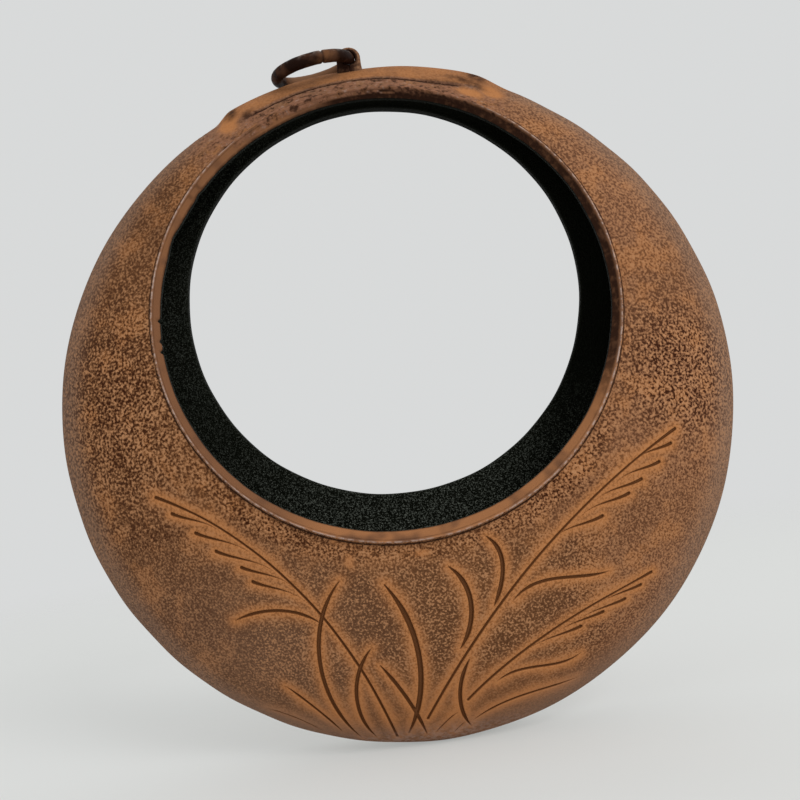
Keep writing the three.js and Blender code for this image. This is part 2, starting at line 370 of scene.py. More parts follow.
def face_shape(flat, lines):
    """Places the points of the unrolled face in space, with the painter's marks on them."""
    spot = dome.roll(flat)
    x, y, z = spot.T
    outward = np.stack((x / BODY_RADIUS**2, y / FRONT_RISE**2, z / BODY_RADIUS**2), -1)
    outward /= np.linalg.norm(outward, axis=1)[:, None]
    radial = np.stack((x, 0 * x, z), -1) / np.maximum(np.hypot(x, z), 1e-9)[:, None]

    turn = np.arctan2((z - rim_up) / math.cos(rim_tilt), x)
    from_ridge = np.hypot(x, (z - rim_up) / math.cos(rim_tilt)) - ridge_line(turn)
    ridge = on_rim(ridge_line(turn), 0, turn)
    foot = -FRONT_RISE * np.sqrt(1 - (ridge[:, 0] ** 2 + ridge[:, 2] ** 2) / BODY_RADIUS**2)
    rise = foot - ridge[:, 1]
    angle = np.degrees(np.arctan2(x, z))
    top = smooth_step(abs(angle - ROUGH_TOP_MIDDLE), *ROUGH_TOP_ANGLES)
    top *= smooth_step(z, *ROUGH_TOP_HEIGHTS)
    flank_width = FLANK_WIDTH + (FLANK_TOP_WIDTH - FLANK_WIDTH) * top
    flank = np.clip(1 - from_ridge / flank_width, 0, 1) ** FLANK_CURVE
    groove = GROOVE_DEPTH * bell(from_ridge, *GROOVE_PLACE) * (1 - top)
    spot[:, 1] -= rise * flank - groove

    lift, crease = pad_lift(angle, -y)
    creased = span(angle, *CREASE_SPAN)
    crease_line = bell(-y, crease + CREASE_LOWER, CREASE_WIDTH) * creased
    scoop = np.minimum(1, blots(angle, -y, SCOOPS))
    spot += radial * lift[:, None]
    spot -= outward * (CREASE_DEPTH * crease_line + SCOOP_DEPTH * scoop)[:, None]

    depth, inside = engrave(flat, lines)
    spot -= outward * depth[:, None]
    swell = np.sin(0.11 * x + 1.3) * np.sin(0.09 * z + 0.4) + 0.6 * np.sin(0.21 * x - 0.17 * z)
    spot += outward * (SWELL_HEIGHT * swell * smooth_step(from_ridge, *SWELL_FROM_RIDGE))[:, None]

    on_pad = smooth_step(lift, *ON_PAD)
    low = np.maximum(0, -np.sin(turn))
    halo = np.exp(-((np.maximum(-inside, 0) / RUBBED_FADE) ** RUBBED_CURVE))
    scale = top * (1 - on_pad) * (1 - scoop)
    # The bottom edge gets painted light: paler and more orange, for light thrown up by the floor.
    bounce_lit_sole = smooth_step(-z, *SOLE_BELOW)
    under_rim = bell(from_ridge, *UNDER_RIM) * smooth_step(-z, *UNDER_RIM_BELOW)
    spots = blots(x, z, RUBBED_SPOTS)
    # Near the outline the face is smoother and less grainy; its greyer brown there is partly a painted
    # grazing sheen. The same mark also calms a patch at the lower left.
    from_middle = np.hypot(x, z) + EDGE_SIDES_WIDER * smooth_step(abs(x), *EDGE_SIDES)
    edge = np.maximum(
        smooth_step(from_middle, *EDGE_BAND) * (1 - on_pad) * (1 - scoop) * (1 - 0.6 * bounce_lit_sole),
        0.4 * smooth_step(-z, *LOW_LEFT_BELOW) * smooth_step(x, *LOW_LEFT) * (1 - halo),
    )
    dull = np.maximum(
        smooth_step(x, *DULL_LEFT) * smooth_step(z, *DULL_UNDER_TOP),
        smooth_step(x, *DULL_LOW_LEFT) * smooth_step(-z, *DULL_LOW_BELOW),
    )
    deep = span(-z, *DEEP_BELOW) * smooth_step(abs(x - DEEP_MIDDLE), *DEEP_SIDES)

    # Where fine and coarse grains meet, their mix is made stronger, since mixing evens them out.
    fine = smooth_step(-z, *FINE_BELOW)
    grainy = np.maximum.reduce((
        0.58 + 0 * x,
        blots(x, z, GRAIN_ZONES),
        0.98 * under_rim,
        0.82 * smooth_step(-z, *GRAIN_LOW_BELOW) * smooth_step(abs(x), *GRAIN_LOW_SIDES),
    )) / np.hypot(fine, 1 - fine)
    grainy *= (1 - 0.62 * on_pad) * (1 - 0.6 * scoop) * (1 - 0.8 * scale)
    grainy *= (1 - 0.3 * edge) * (1 - 0.7 * smooth_step(-z, *BOTTOM_CALM_BELOW))
    marks = {
        "cut": smooth_step(inside, *CUT_SOFT_EDGE),
        "fine": fine,
        "cut_floor": smooth_step(inside, *CUT_FLOOR_EDGE),
        "rubbed_and_lit": np.maximum.reduce((
            halo,
            scoop,
            spots,
            0.5 * on_pad,
            0.35 * under_rim,
            0.3 * smooth_step(-z, *BOTTOM_RUBBED_BELOW),
            # painted floor light on the bottom edge
            0.45 * bounce_lit_sole,
        )),
        "dull": dull * (1 - halo) * (1 - scoop),
        "deep": deep * (1 - halo) * (1 - spots),
        "edge": edge,
        "grainy": grainy,
        "wear_and_highlight": np.maximum(
            # a pale ridge line, partly bare iron from wear and partly a painted highlight, brighter at the
            # sides
            bell(from_ridge, 0, RIDGE_WEAR_AND_HIGHLIGHT_WIDTH) * (1 - top) * (0.6 + 0.4 * abs(np.cos(turn))),
            # painted floor light on the bottom edge
            0.4 * bounce_lit_sole,
        ),
        "soot_and_shade": np.maximum.reduce((
            # painted shadow at the ridge's outer foot, wider and further out on the lower half
            0.95 * bell(from_ridge, 0.6 + 0.2 * low, 0.32 + 0.16 * low) * (1 - top),
            crease_line,
            # stains at the pad's ends, and the ring's painted shadow on the pad
            blots(angle, -y, PAD_STAINS_AND_RING_SHADOW),
            # painted shade just in front of the crease, towards the pad's right end
            0.68 * bell(-y - crease, *CREASE_SHADE) * smooth_step(angle, *CREASE_SHADE_FROM) * creased,
            blots(x, z, FACE_STAINS),
        )),
        "scale": scale,
        "lip": 0 * x,
    }
    return spot, marks


# The lip falls from the ridge to the opening's edge: how far across and how far back each row lies.
# Chips (angle from the right, depth, half width) sit in its edge and cracks cross it. The casting's
# rough scale comes down over it at the top. A zone starts, is full, fades and ends at its four angles.
LIP_ROWS = (
    (0.03, -0.02), (0.08, 0.05), (0.13, 0.2), (0.23, 0.52), (0.37, 0.95), (0.53, 1.46), (0.70, 1.97),
    (0.83, 2.38), (0.92, 2.66), (0.97, 2.9), (1, 3.2), (1, 3.7), (1, 4.3),
)
LIP_EDGE_ROW = 10
CHIPS = ((177, 0.9, 0.4), (182.4, 0.7, 0.5), (185.2, 1, 0.4), (155, 0.8, 3.6), (141, 0.5, 1.2))
CRACKS = ((139.6, 0.8), (143, 1.1), (330, 1.6), (354, 2), (358, 1.6))
CHIPS_FROM = 0.45
LIP_WOBBLE = 0.09
LIP_TOP_MIDDLE = 92
LIP_TOP = (40, 26)
# The next three lines place painted shade on the lip's upper right and top, which face away from the light.
LIP_SHADE_MIDDLE = 25
LIP_SHADE = (0.35, 0.75)
LIP_TOP_SHADE = (45, 62, 94, 106)
LIP_BELOW = (230, 252, 325, 348)
LIP_UPPER_LEFT = (96, 112, 160, 175)
LIP_UPPER_RIGHT = (28, 44, 84, 96)
LIP_SCALE = (56, 68, 116, 132)
LIP_SCALE_DROP = (2.1, 1.3)
LIP_WEAR_AND_HIGHLIGHT_WIDTH = 0.14
LUMP_SIZE = 1.8
LUMP_HEIGHT = 0.32
LUMP_NOISE = (0.7, 2.0, 3)


def lip_line(share, drop, turn):
    """One row of the lip, with its hand-dressed wobble and the chips in its edge."""
    bite = sum(deep * bell(np.degrees(turn) % 360, place, wide) for place, deep, wide in CHIPS)
    radius = ridge_line(turn) + share * (LIP_RADIUS - ridge_line(turn))
    radius = radius + hand_wobble(turn, LIP_WOBBLE) * share + bite * smooth_step(share, CHIPS_FROM, 1)
    return on_rim(radius, drop, turn)


def lip_marks(turn, drop):
    """The painter's marks on the lip, by its angle and how far back each point lies."""
    angle = np.degrees(turn) % 360
    top = smooth_step(abs(angle - LIP_TOP_MIDDLE), *LIP_TOP)
    shade = smooth_step(np.cos(np.radians(angle - LIP_SHADE_MIDDLE)), *LIP_SHADE)
    cracks = np.maximum.reduce([bell(angle, place, wide) for place, wide in CRACKS])
    upper_left = span(angle, *LIP_UPPER_LEFT)
    ragged = 1.15 + 0.35 * np.sin(0.9 * angle) + 0.25 * np.sin(2.3 * angle + 1)
    return {
        "lip": np.ones(len(angle)),
        "rubbed_and_lit": np.maximum.reduce((0.85 * span(angle, *LIP_BELOW), 0.4 * upper_left, 0 * angle + 0.2)),
        # the ridge's pale line, partly bare iron from wear and partly a painted highlight
        "wear_and_highlight": bell(drop, 0, LIP_WEAR_AND_HIGHLIGHT_WIDTH) * (1 - top) * (0.6 + 0.4 * abs(np.cos(turn))),
        "scale": span(angle, *LIP_SCALE) * smooth_step(drop, *LIP_SCALE_DROP),
        "soot_and_shade": np.maximum.reduce((
            0.8 * smooth_step(drop, 2.2, 3),
            # painted shade on the lip's upper right, which faces away from the light
            0.84 * shade * smooth_step(drop, 0.3, 0.9),
            0.95 * span(angle, *LIP_UPPER_RIGHT) * bell(drop, ragged, 0.5),
            # painted shade on the top of the lip, which faces down
            span(angle, *LIP_TOP_SHADE) * smooth_step(drop, 1.2, 1.8),
            0.65 * np.maximum(top, upper_left) * smooth_step(drop, 1.9, 2.6),
            0.55 * bell(drop, 0.5, 0.22),
            0.5 * cracks * smooth_step(drop, 0.2, 0.8),
        )),
    }


def scale_lumps(points):
    """The uneven skin of rough casting scale, between -1 and 1."""
    return np.array([fractal(Vector(point) / LUMP_SIZE, *LUMP_NOISE) for point in points])


def ring_quads(rows, columns):
    """Quads between neighbouring rows of points, where the last column joins the first."""
    row, column = np.meshgrid(np.arange(rows - 1), np.arange(columns), indexing="ij")
    following = (column + 1) % columns
    corners = (row * columns + column, row * columns + following,
               (row + 1) * columns + following, (row + 1) * columns + column)
    return np.stack(corners, -1).reshape(-1, 4)


def new_mesh_object(name, points, faces, materials, face_materials):
    """A mesh object in the scene, with the number of the material that each face wears."""
    mesh = bpy.data.meshes.new(name)
    mesh.from_pydata(points.tolist(), [], faces)
    for material in materials:
        mesh.materials.append(material)
    mesh.polygons.foreach_set("material_index", face_materials.astype(np.int32))
    made = bpy.data.objects.new(name, mesh)
    bpy.context.scene.collection.objects.link(made)
    return made


SHARP_ANGLE = math.radians(72)


def dress(piece, points, marks):
    """Moves a piece's points to their final places, paints its marks and smooths its shading."""
    mesh = piece.data
    mesh.vertices.foreach_set("co", points.astype(np.float32).ravel())
    for name, values in marks.items():
        mesh.attributes.new(name, "FLOAT", "POINT").data.foreach_set("value", values.astype(np.float32))
    turned = bmesh.new()
    turned.from_mesh(mesh)
    bmesh.ops.recalc_face_normals(turned, faces=turned.faces)
    turned.to_mesh(mesh)
    turned.free()
    mesh.polygons.foreach_set("use_smooth", np.ones(len(mesh.polygons), bool))
    mesh.set_sharp_from_angle(angle=SHARP_ANGLE)
    mesh.update()


def shader_node(tree, kind, inputs, **settings):
    """Adds a shader node and sets its inputs, each a constant or another node's output."""
    made = tree.nodes.new("ShaderNode" + kind)
    for name, value in settings.items():
        setattr(made, name, value)
    for key, value in inputs.items():
        if isinstance(value, bpy.types.NodeSocket):
            tree.links.new(value, made.inputs[key])
        else:
            made.inputs[key].default_value = value
    return made


def painted(tree, mark):
    return shader_node(tree, "Attribute", {}, attribute_name=mark).outputs["Fac"]


def noise(tree, scale, detail=3.0, roughness=0.55):
    """Cloudy noise whose marks are about 1 / scale metres across."""
    place = shader_node(tree, "TexCoord", {}).outputs["Object"]
    inputs = {"Vector": place, "Scale": scale, "Detail": detail, "Roughness": roughness}
    return shader_node(tree, "TexNoise", inputs).outputs["Fac"]


def ranged(tree, value, low, high, to_low=0.0, to_high=1.0, ramp="SMOOTHSTEP"):
    inputs = {"Value": value, "From Min": low, "From Max": high, "To Min": to_low, "To Max": to_high}
    return shader_node(tree, "MapRange", inputs, interpolation_type=ramp).outputs["Result"]


def combined(tree, operation, first, second):
    return shader_node(tree, "Math", {0: first, 1: second}, operation=operation).outputs[0]


def sum_of(tree, first, second):
    return combined(tree, "ADD", first, second)


def product(tree, first, second):
    return combined(tree, "MULTIPLY", first, second)


def larger_of(tree, first, second):
    return combined(tree, "MAXIMUM", first, second)


def tinted(tree, share, first, second):
    """Colour first, turning into colour second as share goes to 1."""
    mix = shader_node(tree, "Mix", {0: share, 6: first, 7: second}, data_type="RGBA")
    return mix.outputs[2]


def new_finish(name, specular, **constants):
    """A principled material and its tree, with the constants set on the shader's own sockets."""
    material = bpy.data.materials.new(name)
    material.use_nodes = True
    shader = material.node_tree.nodes["Principled BSDF"]
    shader.inputs["Specular IOR Level"].default_value = specular
    for key, value in constants.items():
        shader.inputs[key.replace("_", " ").title()].default_value = value
    return material, material.node_tree, shader


RUST = (0.242, 0.110, 0.053, 1)
RUST_DULL = (0.154, 0.066, 0.026, 1)
RUST_DEEP = (0.112, 0.049, 0.020, 1)
RUST_ORANGE = (0.395, 0.163, 0.057, 1)
GRAIN_DARK = (0.036, 0.008, 0.001, 1)
GRAIN_PALE = (0.41, 0.202, 0.094, 1)
EDGE_BROWN = (0.212, 0.126, 0.082, 1)
CUT_DARK = (0.088, 0.030, 0.008, 1)
CUT_BROWN = (0.135, 0.054, 0.020, 1)
SOOT_AND_SHADE_BROWN = (0.022, 0.008, 0.004, 1)
SCALE_BROWN = (0.235, 0.108, 0.060, 1)
SCALE_GLINT = (0.40, 0.29, 0.24, 1)
LIP_BROWN = (0.150, 0.068, 0.034, 1)
LIP_ORANGE = (0.34, 0.145, 0.058, 1)
WORN_IRON_AND_HIGHLIGHT = (0.42, 0.31, 0.26, 1)
COARSE_GRAIN = 1130.0
FINE_GRAIN = 1420.0
GRAINS_DARK = (0.59, 0.715)
GRAINS_PALE = (0.59, 0.445)
BUMP_HEIGHT = 0.0005


def brown_patina():
    """Rust-brown patina: a mottle of dark and pale grains, polished plain orange round the cuts."""
    material, tree, shader = new_finish("rust_brown_patina", 0.06)
    rubbed_and_lit = painted(tree, "rubbed_and_lit")
    edge = painted(tree, "edge")
    lip = painted(tree, "lip")
    soot_and_shade = painted(tree, "soot_and_shade")
    coarse_grain = noise(tree, COARSE_GRAIN, detail=1.5, roughness=0.5)
    fine_grain = noise(tree, FINE_GRAIN, detail=1.5, roughness=0.5)
    both_grains = {0: painted(tree, "fine"), 2: coarse_grain, 3: fine_grain}
    grain = shader_node(tree, "Mix", both_grains).outputs[0]
    drift = noise(tree, 240.0, detail=3.0)
    patch = noise(tree, 85.0, detail=2.0)
    cloud = noise(tree, 17.0, detail=2.0)

    # Orange where rubbing polished the face, and on the bottom edge as painted floor light.
    orange = sum_of(tree, rubbed_and_lit, product(tree, sum_of(tree, drift, -0.5), 0.4))
    orange = ranged(tree, orange, 0.05, 1.0)
    calm = larger_of(tree, lip, orange)
    strength = ranged(tree, calm, 0.1, 1.0, 1.0, 0.42, ramp="LINEAR")
    strength = product(tree, strength, painted(tree, "grainy"))
    tone = sum_of(tree, grain, product(tree, patch, 0.10))
    tone = sum_of(tree, tone, product(tree, cloud, 0.10))
    deep = painted(tree, "deep")
    dark_grains = product(tree, ranged(tree, tone, *GRAINS_DARK, ramp="LINEAR"), strength)
    dark_grains = product(tree, dark_grains, ranged(tree, deep, 0.0, 1.0, 1.0, 0.45))
    pale_grains = product(tree, ranged(tree, tone, *GRAINS_PALE, ramp="LINEAR"), strength)

    colour = tinted(tree, ranged(tree, cloud, 0.35, 0.65, 0.0, 0.4), RUST, RUST_DULL)
    colour = tinted(tree, painted(tree, "dull"), colour, RUST_DULL)
    colour = tinted(tree, ranged(tree, patch, 0.52, 0.36, 0.0, 0.45), colour, RUST_ORANGE)
    colour = tinted(tree, product(tree, deep, 0.85), colour, RUST_DEEP)
    colour = tinted(tree, orange, colour, RUST_ORANGE)
    # Greyer brown near the outline, partly a painted grazing sheen.
    colour = tinted(tree, product(tree, edge, 0.85), colour, EDGE_BROWN)
    glow = product(tree, rubbed_and_lit, ranged(tree, patch, 0.30, 0.52))
    colour = tinted(tree, lip, colour, tinted(tree, glow, LIP_BROWN, LIP_ORANGE))
    scale = painted(tree, "scale")
    crust = noise(tree, 430.0, detail=5.0, roughness=0.6)
    flakes = ranged(tree, noise(tree, 260.0, detail=5.0), 0.34, 0.56)
    rough_scale = product(tree, scale, flakes)
    colour = tinted(tree, rough_scale, colour, SCALE_BROWN)
    pits = product(tree, scale, ranged(tree, crust, 0.50, 0.34, 0.0, 0.85))
    colour = tinted(tree, pits, colour, SOOT_AND_SHADE_BROWN)
    # Painted glints on the crests of the rough scale.
    scale_glints = product(tree, scale, ranged(tree, crust, 0.56, 0.72, 0.0, 0.5))
    colour = tinted(tree, scale_glints, colour, SCALE_GLINT)
    colour = tinted(tree, dark_grains, colour, GRAIN_DARK)
    colour = tinted(tree, pale_grains, colour, GRAIN_PALE)
    # Sooty stains and dark lines, plus painted shade: at the ridge's outer foot, in front of the crease, on
    # the lip's upper right and top, the ring's shadow on the pad, and the eye's left leg and inner side.
    soot_and_shade_share = product(tree, soot_and_shade, ranged(tree, noise(tree, 420.0, detail=3.0), 0.3, 0.55, 0.7, 1.0))
    colour = tinted(tree, ranged(tree, soot_and_shade_share, 0.15, 0.95), colour, SOOT_AND_SHADE_BROWN)
    cut_colour = tinted(tree, painted(tree, "cut_floor"), CUT_DARK, CUT_BROWN)
    colour = tinted(tree, ranged(tree, painted(tree, "cut"), 0.1, 0.85), colour, cut_colour)
    # A pale line along the ridge: partly bare iron polished by wear, partly a painted highlight; the bottom
    # edge also gets it as painted light from the floor.
    rubbing = ranged(tree, noise(tree, 620.0, detail=3.0), 0.40, 0.62, 0.12, 1.0)
    wear = product(tree, painted(tree, "wear_and_highlight"), rubbing)
    colour = tinted(tree, wear, colour, WORN_IRON_AND_HIGHLIGHT)
    tree.links.new(colour, shader.inputs["Base Color"])

    roughness = ranged(tree, dark_grains, 0.0, 1.0, 0.74, 0.58)
    roughness = sum_of(tree, roughness, product(tree, wear, -0.3))
    tree.links.new(roughness, shader.inputs["Roughness"])

    fine_sand = noise(tree, 2600.0, detail=2.0)
    height = sum_of(tree, product(tree, grain, -1.0), product(tree, fine_sand, 0.3))
    quiet = ranged(tree, calm, 0.0, 1.0, 1.0, 0.35)
    height = sum_of(tree, product(tree, height, quiet), product(tree, rough_scale, 0.9))
    bump = shader_node(tree, "Bump", {"Strength": 0.6, "Distance": BUMP_HEIGHT, "Height": height})
    tree.links.new(bump.outputs["Normal"], shader.inputs["Normal"])
    return material


LACQUER_BLACK = (0.0042, 0.0048, 0.0026, 1)
LACQUER_GLINT = (0.150, 0.165, 0.138, 1)
SAND_HEIGHT = 0.001
GLINTS_BELOW = (-15, 60)
GLINTS_LEFT = (0, 60)


def black_lacquer():
    """Black lacquer over the sandy inside of the casting, with painted glints on the grains low down."""
    material, tree, shader = new_finish("black_lacquer", 0.03)
    sand = noise(tree, 1900.0, detail=2.0, roughness=0.6)
    # Pale specks on the grains are painted glints, placed where the light falls: low down and at the left.
    glint = product(tree, ranged(tree, sand, 0.46, 0.74), painted(tree, "painted_glints"))
    colour = tinted(tree, glint, LACQUER_BLACK, LACQUER_GLINT)
    tree.links.new(colour, shader.inputs["Base Color"])
    tree.links.new(ranged(tree, sand, 0.3, 0.7, 0.45, 0.7), shader.inputs["Roughness"])
    bump = shader_node(tree, "Bump", {"Strength": 1.0, "Distance": SAND_HEIGHT, "Height": sand})
    tree.links.new(bump.outputs["Normal"], shader.inputs["Normal"])
    return material


def lit_glint_share(points):
    """Painted glints on the inside's grains by each point's height and side: most low and at the left."""
    low = smooth_step(-points[:, 2], *GLINTS_BELOW)
    return np.maximum(0.03 + 0.28 * smooth_step(-points[:, 0], *GLINTS_LEFT), low)


patina = brown_patina()
lacquer = black_lacquer()


def front_wall():
    """The whole front wall as one closed skin: face, parting edge, inside and lip."""
    lines = grass_lines()
    columns = len(turns)
    ridge = on_rim(ridge_line(turns), 0, turns)
    start = dome.unroll(ridge[:, 0], ridge[:, 2])
    end = dome.lengths[-1] * np.stack((np.cos(turns), np.sin(turns)), -1)
    reach = np.linalg.norm(end - start, axis=1)
    shares = [row / reach for row in FLANK_ROWS]
    shares += [shares[-1] + (1 - shares[-1]) * step / FACE_ROWS for step in range(1, FACE_ROWS + 1)]
    face = np.concatenate([start + (end - start) * share[:, None] for share in shares])

    lip = [lip_line(share, drop, turns) for share, drop in reversed(LIP_ROWS)]
    inner_start = inner_dome.unroll(lip[0][:, 0], lip[0][:, 2])
    inner_end = inner_dome.lengths[-1] * np.stack((np.cos(turns), np.sin(turns)), -1)
    inside = [inner_dome.roll(inner_end + (inner_start - inner_end) * share)
              for share in np.linspace(0, 1, INSIDE_ROWS)[:-1]]
    hidden = np.concatenate(inside + lip)

    rows = len(shares) + len(inside) + len(lip) + 1
    quads = ring_quads(rows, columns)
    quads[quads >= (rows - 1) * columns] -= (rows - 1) * columns
    lip_start = (len(shares) + len(inside) + len(LIP_ROWS) - LIP_EDGE_ROW) * columns
    black = (np.arange(len(quads)) >= (len(shares) - 1) * columns) & (np.arange(len(quads)) < lip_start)
    flat_face = np.stack((face[:, 0], 0 * face[:, 0], face[:, 1]), -1)
    skin = np.concatenate((flat_face, hidden))
    piece = new_mesh_object("front_wall", skin, quads.tolist(), (patina, lacquer), black)

    # The face gets a finer net where the grass is cut, so that each cut has real walls.
    _, inside_cut = engrave(face, lines)
    fine_point = np.zeros(len(face) + len(hidden), bool)
    fine_point[:len(face)] = inside_cut > -REFINE_REACH
    net = bmesh.new()
    net.from_mesh(piece.data)
    net.faces.ensure_lookup_table()
    cut_faces = np.flatnonzero(fine_point[quads].any(1) & (quads < len(face)).all(1))
    edges = {edge for index in cut_faces for edge in net.faces[index].edges}
    bmesh.ops.subdivide_edges(net, edges=list(edges), cuts=REFINE_CUTS, use_grid_fill=True)
    net.to_mesh(piece.data)
    net.free()

    points = np.empty(len(piece.data.vertices) * 3, np.float32)
    piece.data.vertices.foreach_get("co", points)
    points = points.reshape(-1, 3).astype(float)
    of_face = np.ones(len(points), bool)
    of_face[len(face):len(face) + len(hidden)] = False
    spot, face_marks = face_shape(points[of_face][:, [0, 2]], lines)
    points[of_face] = spot
    marks = {name: np.zeros(len(points)) for name in face_marks}
    for name, values in face_marks.items():
        marks[name][of_face] = values

    lip_points = np.arange(len(face) + len(inside) * columns, len(face) + len(hidden))
    lip_drop = np.repeat([drop for _, drop in reversed(LIP_ROWS)], columns)
    for name, values in lip_marks(np.tile(turns, len(LIP_ROWS)), lip_drop).items():
        marks[name][lip_points] = values
    marks["painted_glints"] = lit_glint_share(points)
    scaly = np.flatnonzero(marks["scale"] > 0.01)
    points[scaly, 1] -= LUMP_HEIGHT * marks["scale"][scaly] * scale_lumps(points[scaly])
    dress(piece, row_frame(points), marks)
    return piece


front = front_wall()
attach(front, "vase")
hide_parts("front_shell")

# Back wall of the casting: a flat iron plate, 4 mm thick, with a rounded edge and a round hole a little
# above the front one. It is the other half of the mould, so both meet at the widest circle, and it has
# the same patina outside and the same lacquer inside.
BACK_DEPTH = 14
BACK_EDGE = 12
BACK_HOLE_RADIUS = 74.2
BACK_HOLE_FLAT = 1.1
BACK_TOP_BAND = 6.6
BACK_STEP = math.radians(0.75)
BACK_ROWS = 70
BACK_INSIDE_ROWS = 40
HOLE_ROUND = 0.9
HOLE_ROWS = 6
HOLE_WOBBLE = 0.1
HOLE_TIGHTER = 0.2
HOLE_FLAT_PLACE = (90, 25)
PAD_BACK = 7
PAD_BACK_STEP = 0.8
PAD_BACK_CURVE = 1.6
PAD_BACK_EDGE = (-0.3, 0.5)
PAD_BACK_SEAM = (0.3, 0.5)
ON_PAD_BACK = (0.15, 0.8)


def dish_profile(flat_radius, edge, depth):
    """A flat plate's section that rounds off at its edge."""
    turn = np.linspace(0, math.pi / 2, PROFILE_STEPS)
    radii = np.concatenate(((0,), flat_radius + edge * np.sin(turn)))
    depths = np.concatenate(((depth,), depth * np.cos(turn)))
    return Profile(radii, depths)


def back_wall():
    """The whole back wall as one closed skin: outside, parting edge, inside and the hole's edge."""
    around = np.arange(0, 2 * math.pi, BACK_STEP)
    columns = len(around)
    circle = np.stack((np.cos(around), np.sin(around)), -1)
    flat_radius = BODY_RADIUS - BACK_EDGE
    outside = dish_profile(flat_radius, BACK_EDGE, BACK_DEPTH)
    inside = dish_profile(flat_radius, BACK_EDGE - WALL, BACK_DEPTH - WALL)
    hole_up = BODY_RADIUS - BACK_TOP_BAND - BACK_HOLE_RADIUS

    def face_rows(profile, count, hole_radius):
        hole = hole_radius[:, None] * circle
        start = profile.unroll(hole[:, 0], hole[:, 1] + hole_up)
        end = profile.lengths[-1] * circle
        return [profile.roll(start + (end - start) * share) for share in np.linspace(0, 1, count)]

    edge_line = BACK_HOLE_RADIUS + hand_wobble(around, HOLE_WOBBLE) - HOLE_TIGHTER
    edge_line -= BACK_HOLE_FLAT * bell(np.degrees(around), *HOLE_FLAT_PLACE)
    outer = face_rows(outside, BACK_ROWS, edge_line + HOLE_ROUND)
    inner = face_rows(inside, BACK_INSIDE_ROWS, edge_line + HOLE_ROUND)
    round_turn = np.linspace(0, math.pi / 2, HOLE_ROWS)[1:]
    outer_bend = []
    inner_bend = []
    for turn in round_turn:
        pull = HOLE_ROUND * math.sin(turn)
        sink = HOLE_ROUND * (1 - math.cos(turn))
        for bend, first, way in ((outer_bend, outer[0], -1), (inner_bend, inner[0], 1)):
            row = first.copy()
            row[:, [0, 2]] -= pull * circle
            row[:, 1] += way * sink
            bend.append(row)
    rows = outer[::-1] + outer_bend + inner_bend[::-1] + inner
    outer_count = len(outer) + len(outer_bend) // 2
    points = np.concatenate(rows)
    quads = ring_quads(len(rows) + 1, columns)
    quads[quads >= len(points)] -= len(points)
    black = np.arange(len(quads)) >= (outer_count - 1) * columns
    piece = new_mesh_object("back_wall", points, quads.tolist(), (patina, lacquer), black)

    x, y, z = points.T
    angle = np.degrees(np.arctan2(x, z))
    is_outer = np.arange(len(points)) < len(outer) * columns
    rise, ends = pad_height(angle)
    slope = rise + (PAD_BACK_STEP - rise) * np.clip(y / PAD_BACK, 0, 1) ** PAD_BACK_CURVE
    lift = slope * (1 - smooth_step(y - PAD_BACK, *PAD_BACK_EDGE)) * ends * is_outer
    radius = np.hypot(x, z)
    radial = np.stack((x, 0 * x, z), -1) / radius[:, None]
    points = points + radial * lift[:, None]
    on_pad = smooth_step(lift, *ON_PAD_BACK)
    edge = smooth_step(radius, *EDGE_BAND)
    marks = {
        # the smoother band near the outline, its greyer brown partly a painted grazing sheen
        "edge": is_outer * edge * (1 - on_pad),
        "rubbed_and_lit": 0.55 * on_pad,
        "soot_and_shade": is_outer * bell(y - PAD_BACK, *PAD_BACK_SEAM) * smooth_step(ends, 0.02, 0.5),
        "grainy": 0.7 * (1 - 0.35 * edge) * (1 - 0.62 * on_pad),
        "painted_glints": lit_glint_share(points),
    }
    dress(piece, row_frame(points), marks)
    return piece


back = back_wall()
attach(back, "vase")
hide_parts("back_shell")

# Eye: an iron strap bent over the ring's wire and closed in under it, with both legs cast into the pad.
# It leans forward a little with the ring's axis and has the casting's brown patina. Its hole is wider at
# the strap's two faces, where the curved wire needs room. Sizes are millimetres from its centre.
eye_joint = frame["joints"][0]
eye_centre = Vector(eye_joint["pos_m"])
eye_axis = Vector(eye_joint["axis"]).normalized()
STRAP_RADIUS = 3.7
ARCH_RISE = 3.2
STRAP_THICKNESS = 1.45
STRAP_WIDTH = 4.6
STRAP_ROUND = 0.55
LEG_LENGTH = 5.4
HOLE_HALF_WIDTH = 2.5
HOLE_HALF_HEIGHT = 2.52
HOLE_BULGE = 0.17
FOOT_GAP = 0.03
LEG_FLARE = 0.5
FLARE_FROM = 0.3
FOOT_SOOT = (-3, 0.6)
LEFT_LEG = (0, 1.5)
LEFT_LEG_UP = (2.5, 1)
ARCH_STEPS = 28
LEG_STEPS = 36
CORNER_STEPS = 5
SIDE_STEPS = 4


def rounded_section(width, thickness, corner):
    """Points round a rectangle with rounded corners, and some along its two long sides."""
    points = []
    for quarter in range(4):
        centre = (
            (width / 2 - corner) * (1 if quarter in (0, 3) else -1),
            (thickness / 2 - corner) * (1 if quarter in (0, 1) else -1),
        )
        for step in range(CORNER_STEPS):
            turn = math.pi / 2 * (quarter + step / (CORNER_STEPS - 1))
            points.append((centre[0] + corner * math.cos(turn), centre[1] + corner * math.sin(turn)))
        if quarter in (0, 2):
            shares = [1 - 2 * step / SIDE_STEPS for step in range(1, SIDE_STEPS)]
            points.extend([(centre[0] * share, points[-1][1]) for share in shares])
    return np.array(points)


def closed_tube(name, rows, material):
    """A closed skin through rows of points of equal count, with flat caps at both ends."""
    columns = len(rows[0])
    points = np.concatenate(rows)
    faces = ring_quads(len(rows), columns).tolist()
    faces.append(list(range(columns))[::-1])
    faces.append(list(range(len(points) - columns, len(points))))
    return new_mesh_object(name, points, faces, (material,), np.zeros(len(faces))), points


